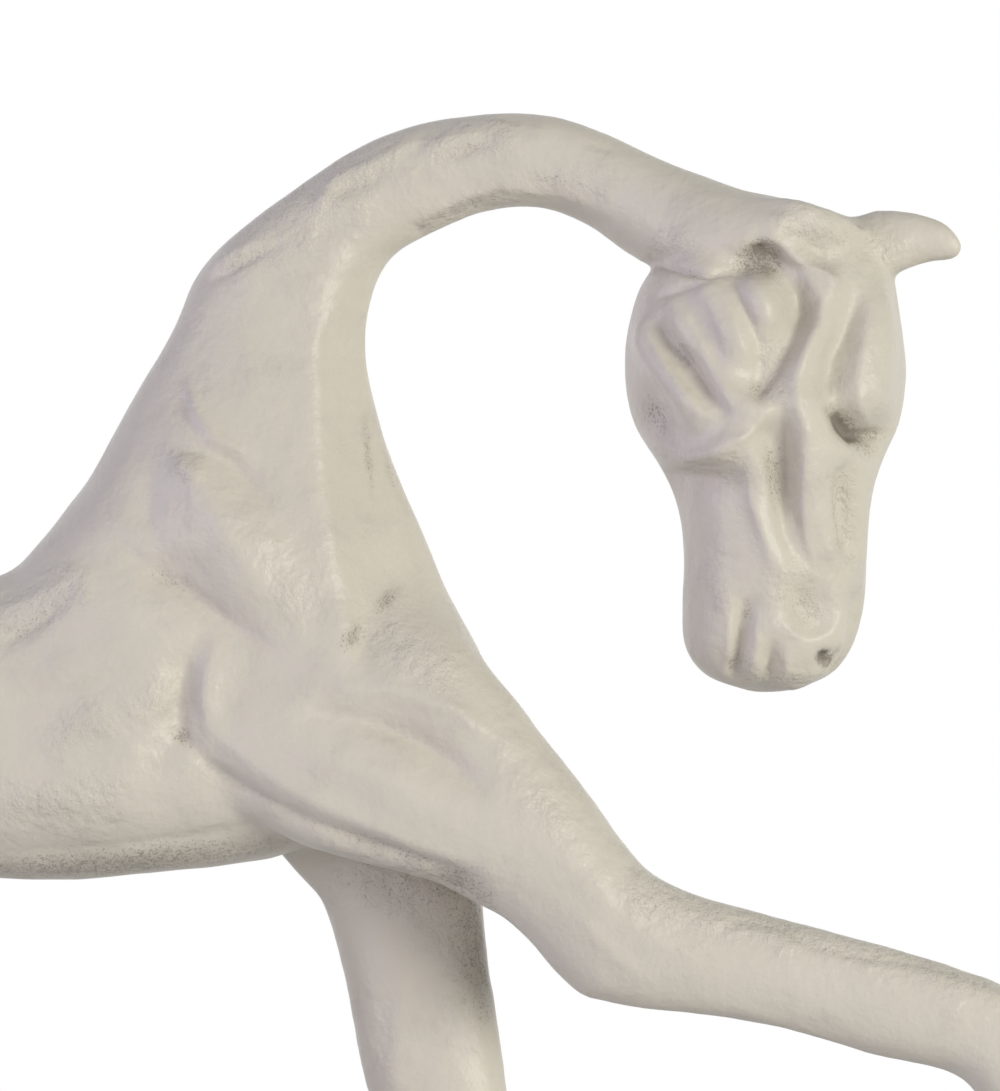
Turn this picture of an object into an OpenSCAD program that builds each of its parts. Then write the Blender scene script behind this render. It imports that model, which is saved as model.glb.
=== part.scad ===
// Prancing horse figurine, cast in aluminium.
// Solid castings butt against each other on flat joint faces. A dowel across each joint
// holds the castings in line while they are welded and dressed back.
// Millimetres, +Z up, head towards +X, right side of the horse towards -Y.
// The origin is on the floor, under the middle of the figure.

/* [Overall] */
// Length from the back of the tail to the raised knee
overall_length = 300; // [250:1:360]
// Height from the soles to the crest of the neck
overall_height = 240; // [200:1:290]
// Width across the hind hooves
overall_width = 58; // [49:1:69]

/* [Head] */
// Turn of the face from straight ahead towards the right side, in degrees
head_turn = 68; // [50:1:80]
// Length of the head from poll to lips
head_length = 80; // [67:1:96]
// Width of the head across the cheeks
head_width = 44.5; // [38:0.5:53]
// Diameter of the nostril
nostril_d = 2.5; // [2:0.5:3]
// Depth of the nostril
nostril_depth = 4; // [3:0.5:5]
// Free length of the outstretched left ear
left_ear_length = 15.5; // [13:0.5:18.5]
// Length of the laid-back right ear
right_ear_length = 16; // [13:0.5:19]

/* [Hooves] */
// Length of the sole from toe to heel
hoof_length = 20; // [17:0.5:24]
// Width of the sole
hoof_width = 18; // [15:0.5:21.5]
// Height of the hoof wall at the toe
hoof_height = 11; // [9:0.5:13]

/* [Joints] */
// Diameter of the dowels in the neck and leg joints
dowel_d = 4; // [3:0.5:5]
// Length of the dowels in the neck and leg joints
dowel_length = 15; // [12:0.5:18]
// Diameter of the pins in the ear and tail joints
pin_d = 2; // [1.5:0.1:2.5]
// Length of the pins in the ear and tail joints
pin_length = 8; // [6:0.5:10]
// Radial clearance of dowels and pins in their holes
hole_clearance = 0.05; // [0.02:0.01:0.1]

/* [Surface] */
// Depth of the modelled muscles, 1 for the figure as drawn
relief = 1; // [0:0.1:1.4]
// Squareness of the trunk, 2 for oval sections
trunk_squareness = 2.3; // [2:0.1:3]
// Squareness of the limbs, 2 for oval sections
limb_squareness = 2.2; // [2:0.1:3]

/* [Hidden] */
// Blunt edge between the flats under the neck, as a share of its half width
flat_nose = 0.25;
cast_white = [0.80, 0.78, 0.73];
rod_grey = [0.70, 0.71, 0.73];

// The forms below are drawn larger than life, at this length, width and height, and are
// brought to the sizes above by these ratios.
drawn_size = [502, 97, 402];
overall_size = [overall_length, overall_width, overall_height];
ratio = [for (i = [0 : 2]) overall_size[i] / drawn_size[i]];
function scaled(p, k) = [for (i = [0 : 2]) p[i] * k[i]];

// A station is one cross-section of a form, seen edge-on in the side elevation:
// [front x, front z, back x, back z, sideways place, half width].
// Front is the crest or face side of the form, and back is its belly or heel side. The trunk
// has one more number: the share of the half depth that is planed flat each side of the back.

// Trunk from the buttock along the back and round the withers into the neck
trunk_stations = [
    [-219, 270, -225, 251, 0, 8, 0],
    [-212, 281, -216, 235, 0, 23, 0],
    [-194, 288, -193, 219, 0, 33.5, 0],
    [-165, 291, -160, 209, 0, 37, 0],
    [-130, 287, -124, 204, 0, 36, 0],
    [-95, 281, -88, 200, 0, 33, 0],
    [-62, 277, -54, 196, 0, 31.5, 0],
    [-36, 276.5, -26, 194.5, 0, 32, 0],
    [-26, 284, 0, 196, 0, 33.5, 0],
    [-18, 293, 26, 198.5, 0, 35, 0],
    [-11, 303.5, 52, 205, 0, 35, 0],
    [-5, 314, 77, 223, 0, 33, 0.3],
    [1, 325, 94, 252, 0, 30, 0.65],
    [6, 334, 86, 273, 0, 26.5, 0.75],
    [10, 341, 76.5, 295, 0, 23.5, 0.72],
    [13, 347, 68.5, 314, 0, 21, 0.6],
    [16, 354, 64, 335, 0, 18.5, 0.5],
    [21, 362, 65, 350, 0, 17, 0.45],
    [33, 373, 69, 360.5, 0, 15.5, 0.38],
    [48, 384, 75, 366, 0, 14.5, 0.3],
    [66, 395, 84, 370.5, 0, 14, 0.32],
    [86, 400.5, 95, 375, 0, 13.5, 0.35],
    [106, 402, 106, 376.5, -1, 13, 0.37],
    [122, 399, 117, 374.5, -2, 13, 0.37],
    [137, 392.5, 127.5, 369, -4, 14, 0.3],
    [151, 386, 138, 361.5, -7, 16, 0.15],
    [166, 380, 150, 358, -12, 19, 0],
    [180, 377, 165, 358, -17, 18, 0],
    [190, 373, 178, 362, -19, 9, 0]];
neck_joint = 14;
nape_joint = 25;

// Right shoulder and foreleg, with the knee lifted
right_fore_stations = [
    [48, 302, 20, 288, -10, 8],
    [63, 283, 10, 252, -17, 13],
    [93, 260, 16, 224, -22, 17],
    [110, 237, 48, 204, -24, 18],
    [125, 217, 83, 195, -24.5, 17.5],
    [138, 200, 106.5, 180, -24.5, 16],
    [149.5, 192.5, 122, 164, -24, 15],
    [166, 188, 147, 160, -24, 14],
    [188, 182.2, 175, 156, -24, 13],
    [209, 176.5, 199, 148.8, -24, 13],
    [231, 169.5, 219, 144.5, -24, 13.5],
    [246, 158, 227, 138, -24, 13.5],
    [251, 144, 231, 131, -24, 12.5],
    [249, 126, 231, 121, -24, 10.5],
    [244, 104, 229, 100, -24, 8.5],
    [240, 84, 222, 80, -24, 9.5],
    [240, 73, 224, 67, -24, 9],
    [244, 62, 219, 53, -24, 12],
    [246, 44, 214, 34, -24, 14.5]];
right_fore_joint = 5;

// Left shoulder and foreleg, standing
left_fore_stations = [
    [66, 282, 36, 274, 10, 8],
    [82, 250, 24, 240, 17, 13],
    [92, 214, 35, 207, 21.5, 16.5],
    [95.5, 190, 51, 189, 21.5, 15.5],
    [97, 174, 56.5, 172, 20, 14.5],
    [100, 152, 61, 149, 18, 14],
    [103, 132, 67, 128, 16, 13],
    [105, 113, 75, 109, 14, 12],
    [107, 99, 79, 95, 13, 12.5],
    [106.5, 86, 80, 83, 12, 12],
    [103.5, 70, 84, 68, 11, 9.5],
    [102.5, 50, 85, 49, 10, 8.5],
    [105, 39, 83, 36, 9.5, 10],
    [107, 30, 88, 26, 9, 9]];
left_fore_joint = 3;
left_fore_hoof = [104, 9];

// Right haunch and hind leg, under the body
right_hind_stations = [
    [-130, 276, -188, 272, -8, 7],
    [-114, 252, -206, 250, -15, 13.5],
    [-107, 220, -203, 217, -23, 20.5],
    [-118, 195, -185, 193, -24.5, 17.5],
    [-132, 172, -178, 167, -25, 14],
    [-146, 150, -180, 142, -27, 12],
    [-158, 130, -188, 122, -28, 11],
    [-165, 112, -199, 112, -29, 11],
    [-168, 96, -196, 93, -30, 10.5],
    [-168, 78, -187, 76, -30, 8.5],
    [-165, 55, -182, 53, -31, 8],
    [-161, 40, -183, 36, -31.5, 9.5],
    [-158, 30, -177, 25, -32, 9]];
right_hind_joint = 3;
right_hind_hoof = [-162, -33.5];

// Left haunch and hind leg, trailing
left_hind_stations = [
    [-132, 276, -190, 272, 8, 7],
    [-119, 252, -209, 249, 15, 13.5],
    [-121, 221, -209, 214, 23, 20.5],
    [-139, 197, -203, 188, 25.5, 17.5],
    [-158, 175, -203, 163, 26, 14],
    [-178, 152, -212, 138, 28, 12],
    [-195, 131, -224, 117, 29, 11],
    [-205, 113, -238, 108, 30, 11],
    [-212, 96, -238, 90, 31, 10.5],
    [-217, 78, -236, 74, 31.5, 8.5],
    [-221, 55, -238, 51, 32, 8],
    [-221, 40, -243, 34, 32.5, 9.5],
    [-219, 30, -238, 23, 33, 9]];
left_hind_joint = 3;
left_hind_hoof = [-223, 33.5];

// Tail, carried away from the buttock, with its front towards the legs
tail_stations = [
    [-202, 260, -198, 280, 0, 7],
    [-219, 263, -219, 285, 0, 8.5],
    [-228, 258, -234, 278, 0, 10],
    [-232, 246, -245, 260, 0, 11],
    [-231.5, 227, -250.5, 233, 0, 11.5],
    [-231.5, 200, -250.5, 203, 0, 10.5],
    [-232, 174, -246, 176, 0, 8],
    [-236, 157, -243, 158, 0, 4]];
tail_joint = 2;

// Head, in its own frame: x out of the face, y to the horse's left and z down from the poll.
// It is drawn at this length and width.
drawn_head = [134, 74.5];
head_ratio = [head_width / drawn_head.y, head_width / drawn_head.y, head_length / drawn_head.x];
head_place = scaled([172, -10.5, 378], ratio);
head_stations = [
    [8, -1, -14, -2, 7, 13],
    [16, -6, -23, -9, 6, 23],
    [23, -18, -28, -22, 1.5, 33.5],
    [28, -32, -32, -36, 0, 37],
    [30.5, -48, -34, -50, 0, 38],
    [31, -60, -33, -61, 0, 35.5],
    [30.5, -70, -27, -70, 0, 30],
    [29, -81, -21, -80, 0, 26],
    [27, -95, -18, -94, 0, 24.5],
    [26, -110, -17, -109, -0.5, 24.5],
    [24, -121, -15, -120, -1.5, 23],
    [17, -129, -10, -128, -1, 17],
    [6, -133, -3, -132.5, 0, 5]];

// Relief marks on the flanks: [x, z, x, z, half width, height] along a line in the side
// elevation, raised where the height is above 0 and hollowed where it is below.
right_marks = [
    [16, 309, 43, 265, 9, 4],
    [13, 312, 33, 302, 6, -2],
    [0, 281, 16, 273, 6.5, -3],
    [16, 273, 41, 259, 6.5, -3.5],
    [18, 256, 13, 232, 5, -4],
    [53, 238, 84, 227, 7, -2.5],
    [-40, 214, 0, 216, 14, 2],
    [-180, 262, -135, 250, 18, 2]];
left_marks = [
    [16, 309, 43, 265, 9, 4],
    [0, 281, 16, 273, 6.5, -3],
    [16, 273, 41, 259, 6.5, -3.5],
    [30, 240, 28, 215, 5, -4],
    [-40, 214, 0, 216, 14, 2],
    [-180, 262, -135, 250, 18, 2]];

// Relief marks on the face: [angle, z, angle, z, half width, height], with the angle
// measured round the head from the middle of the face to the horse's left.
face_marks = [
    // hollow between the nape, the right ear and the right eye
    [-30, -17, -21, -14, 5.5, -4.5],
    // right eye, the grooves round it and the ridges beside it
    [-27, -24, -21, -34, 5, 4],
    [-37, -22, -24, -37, 4.5, -3],
    [-11, -16, -1, -28, 4.5, -3.5],
    [-4, -32, -24, -50, 4.5, -3.5],
    [-47, -23, -30, -40, 4, 2.5],
    [-56, -28, -41, -45, 4, -2.5],
    [-60, -32, -37, -53, 4.5, 2],
    [-70, -38, -39, -57, 4.5, -3.5],
    // cheek bone, the hollow behind it and the crest under it
    [-85, -36, -57, -54, 4.5, 3],
    [-52, -58, -25, -54, 4.5, 3],
    [-77, -53, -75, -64, 5, -2.5],
    [-92, -68, -48, -69, 5, 3],
    [-40, -66, -23, -59, 5, 3],
    [-96, -75, -43, -75, 5, -2.5],
    // ridge down the middle of the brow, left eye and the socket under it
    [9, -25, -5, -46, 4.5, 3],
    [-2, -54, 13, -69, 4.5, 3],
    [19, -27, 7, -51, 4.5, -3.5],
    [32, -30, 26, -54, 8, 4],
    [11, -60, 43, -64, 4.5, -5],
    // bridge of the nose between its two grooves
    [-21, -64, -15, -81, 4.5, -4.5],
    [-10, -88, 0, -96, 4.5, -3],
    [-28, -68, -13, -98, 4.5, 2.5],
    [-7, -57, 8, -94, 5, 3],
    [19, -75, 33, -93, 4.5, -3],
    // dish of the muzzle and the corners of the mouth
    [4, -109, 9, -112, 5.5, -3],
    [-35, -111, -54, -127, 4, -3.5],
    [-16, -122, -24, -130, 4, -3],
    [45, -109, 60, -128, 4, -3]];

// Nostril, in the head's frame, and its turn towards the horse's left
nostril_place = scaled([17, 10, -123], head_ratio);
nostril_turn = 28;

// Ears, each in its own frame: x from root to tip and z towards the upper rim. They are
// drawn at these lengths.
drawn_left_ear = 26;
left_ear_ratio = [left_ear_length / drawn_left_ear, head_ratio.y, head_ratio.z];
left_ear_place = scaled([8, 26.5, -12.5], head_ratio);
left_ear_turn = [0, 2, 68];
left_ear_stations = [
    [-14, 8, -14, -14, 1, 8],
    [0, 10, 0, -11.5, 0, 8.5],
    [8, 10.2, 8.5, -6.5, -0.5, 7],
    [15, 9.2, 15.5, -4, -1, 5.5],
    [21, 7, 21.5, -3, -1.5, 4.2],
    [26, 3, 25.5, -3.6, -2, 2.4]];
drawn_right_ear = 27;
right_ear_ratio = [right_ear_length / drawn_right_ear, head_ratio.y, head_ratio.z];
right_ear_place = scaled([16, 15, -13], head_ratio);
right_ear_turn = [0, 0, 248];
right_ear_stations = [
    [-9, 4, -2, -13, -7, 3],
    [-1, 8.5, 7, -11, 3, 6],
    [9, 11.5, 17, -4.5, 8, 6.5],
    [17, 13, 24, 1, 7, 5],
    [24, 13, 29, 6, 4, 2.5]];
// Hollow of the right ear, as a relief mark
right_ear_marks = [[], [[2, -1, 16, 5, 5, -2.5]]];
// Middle of the pin under the right ear
right_ear_pin_place = scaled([9, -1, 2], right_ear_ratio);

// Hoof of a standing leg: coronet, wall and sole, set back from the toe and heel as they rise,
// with the heel lower than the toe
hoof_setback = 4;
heel_setback = 1.5;
heel_share = 0.8;
wall_lean = 1.5;
function hoof(place) =
    let (
        toe = place.x + hoof_length / 2 / ratio.x,
        heel = place.x - hoof_length / 2 / ratio.x,
        lean = [hoof_setback / ratio.x, heel_setback / ratio.x, wall_lean / ratio.y],
        side = hoof_width / 2 / ratio.y,
        rise = hoof_height / ratio.z)
    [[toe - lean[0], rise, heel + lean[1], heel_share * rise, place.y, side - lean[2]],
        [toe - lean[0] / 3, rise / 3, heel + lean[1] / 4, heel_share * rise / 3, place.y, side - lean[2] / 4],
        [toe, 0, heel, 0, place.y, side]];
right_fore_leg = right_fore_stations;
left_fore_leg = concat(left_fore_stations, hoof(left_fore_hoof));
right_hind = concat(right_hind_stations, hoof(right_hind_hoof));
left_hind = concat(left_hind_stations, hoof(left_hind_hoof));

// Middle of a station
function middle_of(s) = [(s[0] + s[2]) / 2, s[4], (s[1] + s[3]) / 2];

// Smooth curve through four stations
function between(p, q, r, s, t) =
    0.5 * (2 * q + (r - p) * t + (2 * p - 5 * q + 4 * r - s) * t * t
        + (3 * q - p - 3 * r + s) * t * t * t);
function at(list, i) = list[max(0, min(len(list) - 1, i))];
function refined(list, steps) = [
    for (i = [0 : len(list) - 2], j = [0 : steps - 1])
        between(at(list, i - 1), list[i], list[i + 1], at(list, i + 2), j / steps),
    list[len(list) - 1]];

// Height of a set of relief marks at a point of the drawing
function line_distance(p, a, b) =
    let (run = b - a, along = (p - a) * run / max(run * run, 0.001))
    norm(p - a - run * max(0, min(1, along)));
function total(list) = len(list) == 0 ? 0 : list * [for (i = list) 1];
function mark_height(p, marks) = relief * total([
    for (m = marks)
        m[5] * exp(-pow(line_distance(p, [m[0], m[1]], [m[2], m[3]]) / m[4], 2))]);

// One ring of a form: a rounded section whose flanks carry the relief marks
function rounded(value, squareness) = sign(value) * pow(abs(value), 2 / squareness);
// Half width of a section, brought in to a straight flat next to its back edge
function planed(along, across, share, squareness) =
    share == undef || along >= share - 1 ? across
    : let (edge = pow(1 - pow(1 - share, squareness), 1 / squareness))
        sign(across) * min(abs(across), flat_nose + (edge - flat_nose) * (1 + along) / share);
function flank_height(p, side, marks) =
    sqrt(abs(side)) * sign(side) * mark_height([p.x, p.z], marks[side < 0 ? 0 : 1]);
function ring(s, sides, squareness, marks) =
    let (middle = middle_of(s), reach = [(s[0] - s[2]) / 2, 0, (s[1] - s[3]) / 2])
    [for (i = [0 : sides - 1])
        let (
            a = 360 * i / sides,
            along = rounded(cos(a), squareness),
            across = planed(along, rounded(sin(a), squareness), s[6], squareness),
            p = middle + reach * along + [0, s[5] * across, 0])
        p + [0, flank_height(p, sin(a), marks), 0]];
function rings(stations, sides, size, squareness = limb_squareness, marks = [[], []]) = [
    for (s = refined(stations, steps))
        [for (p = ring(s, sides, squareness, marks)) scaled(p, size)]];
function run(list, first, last) = [for (i = [first : last]) list[i]];

// One ring of the head, whose relief marks lie round it. Its points lie closer together on
// the face than at the back: they are turned by up to the first angle, most beside the second.
face_crowding = 26;
face_bias = 20;
function head_ring(s) =
    let (middle = middle_of(s), reach = [(s[0] - s[2]) / 2, 0, (s[1] - s[3]) / 2])
    [for (i = [0 : head_sides - 1])
        let (
            turn = 360 * i / head_sides,
            a = turn - face_crowding * sin(turn + face_bias),
            out = reach * rounded(cos(a), limb_squareness)
                + [0, s[5] * rounded(sin(a), limb_squareness), 0],
            arc = norm(out) * PI / 180,
            spot = [(a - 360 * round(a / 360)) * arc, middle.z + out.z],
            marks = [for (m = face_marks) [m[0] * arc, m[1], m[2] * arc, m[3], m[4], m[5]]])
        scaled(middle + out * (1 + mark_height(spot, marks) / norm(out)), head_ratio)];

// Closed skin over a run of rings, with flat ends
module skin(rings) {
    sides = len(rings[0]);
    count = len(rings);
    polyhedron(
        points = [for (r = rings) each r],
        faces = [
            for (r = [0 : count - 2], i = [0 : sides - 1])
                let (a = r * sides + i, b = r * sides + (i + 1) % sides, j = (i + 1) % sides)
                each norm(rings[r][i] - rings[r + 1][j]) < norm(rings[r][j] - rings[r + 1][i])
                    ? [[a, b, b + sides], [a, b + sides, a + sides]]
                    : [[a, b, a + sides], [b, b + sides, a + sides]],
            [for (i = [0 : sides - 1]) sides - 1 - i],
            [for (i = [0 : sides - 1]) (count - 1) * sides + i]],
        convexity = 8);
}

// Fineness of the skins
trunk_sides = 34;
fore_sides = 18;
hind_sides = 16;
tail_sides = 12;
head_sides = 56;
ear_sides = 12;
steps = 2;
head_steps = 4;

trunk_rings = rings(trunk_stations, trunk_sides, ratio, trunk_squareness,
    [right_marks, left_marks]);
right_fore_rings = rings(right_fore_leg, fore_sides, ratio, limb_squareness, [right_marks, []]);
left_fore_rings = rings(left_fore_leg, fore_sides, ratio);
right_hind_rings = rings(right_hind, hind_sides, ratio);
left_hind_rings = rings(left_hind, hind_sides, ratio);
tail_rings = rings(tail_stations, tail_sides, ratio);
head_rings = [for (s = refined(head_stations, head_steps)) head_ring(s)];
left_ear_rings = rings(left_ear_stations, ear_sides, left_ear_ratio);
right_ear_rings = rings(right_ear_stations, ear_sides, right_ear_ratio, 2, right_ear_marks);

// The part of a form up to a joint, and the part beyond it
module root_of(rings, joint) {
    skin(run(rings, 0, joint * steps));
}
module rest_of(rings, joint) {
    skin(run(rings, joint * steps, len(rings) - 1));
}

// Places of the head and ears
module in_head() {
    translate(head_place)
    rotate([0, 0, -head_turn])
    children();
}
module in_ear(place, turn) {
    in_head()
    translate(place)
    rotate(turn)
    children();
}

// Rod across a joint, made larger for its hole
module rod(d, length, clearance) {
    cylinder(d = d + 2 * clearance, h = length + 2 * clearance, center = true, $fn = 32);
}
module across(s) {
    front = scaled([s[0], s[4], s[1]], ratio);
    back = scaled([s[2], s[4], s[3]], ratio);
    translate((front + back) / 2)
    rotate([0, atan2(back.z - front.z, front.x - back.x), 0])
    children();
}
module dowel(s, clearance = 0) {
    across(s)
    rod(dowel_d, dowel_length, clearance);
}
module tail_rod(clearance = 0) {
    across(tail_stations[tail_joint])
    rod(pin_d, pin_length, clearance);
}
module left_ear_rod(clearance = 0) {
    in_ear(left_ear_place, left_ear_turn)
    rotate([0, 90, 0])
    rod(pin_d, pin_length, clearance);
}
module right_ear_rod(clearance = 0) {
    in_ear(right_ear_place, right_ear_turn)
    translate(right_ear_pin_place)
    rotate([90, 0, 0])
    rod(pin_d, pin_length, clearance);
}

// Body casting from the rump to the foot of the neck, with the roots of the legs and tail
module torso() {
    color(cast_white)
    difference() {
        union() {
            root_of(trunk_rings, neck_joint);
            root_of(right_fore_rings, right_fore_joint);
            root_of(left_fore_rings, left_fore_joint);
            root_of(right_hind_rings, right_hind_joint);
            root_of(left_hind_rings, left_hind_joint);
            root_of(tail_rings, tail_joint);
        }
        dowel(trunk_stations[neck_joint], hole_clearance);
        dowel(right_fore_leg[right_fore_joint], hole_clearance);
        dowel(left_fore_leg[left_fore_joint], hole_clearance);
        dowel(right_hind[right_hind_joint], hole_clearance);
        dowel(left_hind[left_hind_joint], hole_clearance);
        tail_rod(hole_clearance);
    }
}

// Arched neck, from the withers to the nape, cleared for the cheek of a wider head
module neck() {
    color(cast_white)
    difference() {
        skin(run(trunk_rings, neck_joint * steps, nape_joint * steps));
        in_head()
        skin(head_rings);
        dowel(trunk_stations[neck_joint], hole_clearance);
        dowel(trunk_stations[nape_joint], hole_clearance);
    }
}

// Head with the nape, turned to the right
module head() {
    color(cast_white)
    difference() {
        head_body();
        dowel(trunk_stations[nape_joint], hole_clearance);
        left_ear_rod(hole_clearance);
        right_ear_rod(hole_clearance);
        in_head()
        nostril();
    }
}
module head_body() {
    rest_of(trunk_rings, nape_joint);
    in_head()
    skin(head_rings);
}
module nostril() {
    translate(nostril_place)
    rotate([0, 90, nostril_turn])
    cylinder(d = nostril_d, h = 2 * nostril_depth, center = true, $fn = 24);
}

// Outstretched left ear, seated on the head
module left_ear() {
    color(cast_white)
    difference() {
        in_ear(left_ear_place, left_ear_turn)
        skin(left_ear_rings);
        head_body();
        left_ear_rod(hole_clearance);
    }
}

// Right ear, laid back over the nape and seated on the head
module right_ear() {
    color(cast_white)
    difference() {
        in_ear(right_ear_place, right_ear_turn)
        skin(right_ear_rings);
        in_ear(left_ear_place, left_ear_turn)
        skin(left_ear_rings);
        head_body();
        right_ear_rod(hole_clearance);
    }
}

// Raised right foreleg, from the forearm to the hoof
module right_foreleg() {
    color(cast_white)
    difference() {
        rest_of(right_fore_rings, right_fore_joint);
        dowel(right_fore_leg[right_fore_joint], hole_clearance);
    }
}

// Standing left foreleg
module left_foreleg() {
    color(cast_white)
    difference() {
        rest_of(left_fore_rings, left_fore_joint);
        dowel(left_fore_leg[left_fore_joint], hole_clearance);
    }
}

// Right hind leg, standing under the body
module right_hind_leg() {
    color(cast_white)
    difference() {
        rest_of(right_hind_rings, right_hind_joint);
        dowel(right_hind[right_hind_joint], hole_clearance);
    }
}

// Left hind leg, trailing
module left_hind_leg() {
    color(cast_white)
    difference() {
        rest_of(left_hind_rings, left_hind_joint);
        dowel(left_hind[left_hind_joint], hole_clearance);
    }
}

// Tail, hanging clear of the legs
module tail() {
    color(cast_white)
    difference() {
        rest_of(tail_rings, tail_joint);
        tail_rod(hole_clearance);
    }
}

// Dowels and pins, cut from aluminium rod
module neck_dowel() {
    color(rod_grey)
    dowel(trunk_stations[neck_joint]);
}
module head_dowel() {
    color(rod_grey)
    dowel(trunk_stations[nape_joint]);
}
module left_ear_pin() {
    color(rod_grey)
    left_ear_rod();
}
module right_ear_pin() {
    color(rod_grey)
    right_ear_rod();
}
module right_foreleg_dowel() {
    color(rod_grey)
    dowel(right_fore_leg[right_fore_joint]);
}
module left_foreleg_dowel() {
    color(rod_grey)
    dowel(left_fore_leg[left_fore_joint]);
}
module right_hind_dowel() {
    color(rod_grey)
    dowel(right_hind[right_hind_joint]);
}
module left_hind_dowel() {
    color(rod_grey)
    dowel(left_hind[left_hind_joint]);
}
module tail_pin() {
    color(rod_grey)
    tail_rod();
}

torso();
neck();
head();
left_ear();
right_ear();
right_foreleg();
left_foreleg();
right_hind_leg();
left_hind_leg();
tail();
neck_dowel();
head_dowel();
left_ear_pin();
right_ear_pin();
right_foreleg_dowel();
left_foreleg_dowel();
right_hind_dowel();
left_hind_dowel();
tail_pin();
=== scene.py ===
import math

import bmesh
import bpy
import numpy as np
from mathutils import Matrix, Vector, noise
from mathutils.bvhtree import BVHTree


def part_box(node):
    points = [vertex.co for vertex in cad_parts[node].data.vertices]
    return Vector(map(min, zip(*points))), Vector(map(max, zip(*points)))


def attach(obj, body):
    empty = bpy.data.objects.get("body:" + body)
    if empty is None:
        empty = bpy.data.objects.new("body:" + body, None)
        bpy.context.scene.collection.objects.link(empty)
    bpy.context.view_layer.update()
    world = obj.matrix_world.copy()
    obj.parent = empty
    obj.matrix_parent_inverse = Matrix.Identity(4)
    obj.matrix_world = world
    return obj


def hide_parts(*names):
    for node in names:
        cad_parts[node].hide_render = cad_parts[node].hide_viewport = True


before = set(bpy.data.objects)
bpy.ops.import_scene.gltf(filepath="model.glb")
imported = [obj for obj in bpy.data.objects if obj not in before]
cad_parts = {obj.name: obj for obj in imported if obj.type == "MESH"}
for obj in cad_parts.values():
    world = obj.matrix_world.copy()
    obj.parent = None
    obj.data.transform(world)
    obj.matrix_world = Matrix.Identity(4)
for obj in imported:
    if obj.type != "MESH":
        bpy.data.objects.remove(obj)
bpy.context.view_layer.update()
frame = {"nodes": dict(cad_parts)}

# Body casting, from the rump to the foot of the neck, with the roots of the legs and tail.
# Solid sand-cast aluminium under satin off-white paint. The figure is modelled whole, in
# millimetres, and cut into its castings at the joints further on.


def pull(at, edges):
    """Vector from each point to the middle of its neighbours."""
    count = len(at)
    a, b = edges[:, 0], edges[:, 1]
    degree = np.maximum(np.bincount(a, minlength=count) + np.bincount(b, minlength=count), 1)
    out = np.empty_like(at)
    for k in range(at.shape[1]):
        total = np.bincount(a, at[b, k], count) + np.bincount(b, at[a, k], count)
        out[:, k] = total / degree - at[:, k]
    return out


def outward(at, quads):
    """Unit direction out of the skin at each point."""
    cross = np.cross(at[quads[:, 2]] - at[quads[:, 0]], at[quads[:, 3]] - at[quads[:, 1]])
    out = np.empty_like(at)
    for k in range(3):
        out[:, k] = np.bincount(quads.ravel(), np.repeat(cross[:, k], 4), len(at))
    return out / np.maximum(np.linalg.norm(out, axis=1, keepdims=True), 1e-12)


def ease(low, high, value):
    """0 below low, 1 above high and a smooth rise between them."""
    t = np.clip((value - low) / (high - low), 0, 1)
    return t * t * (3 - 2 * t)


def ridge(across):
    """Height over a modelling stroke: 1 on its line, rounded there and falling away beside it."""
    return np.exp(0.4 - 1.35 * np.sqrt(across ** 2 + 0.09))


MM = 1000  # millimetres in a metre of the frame


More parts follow.
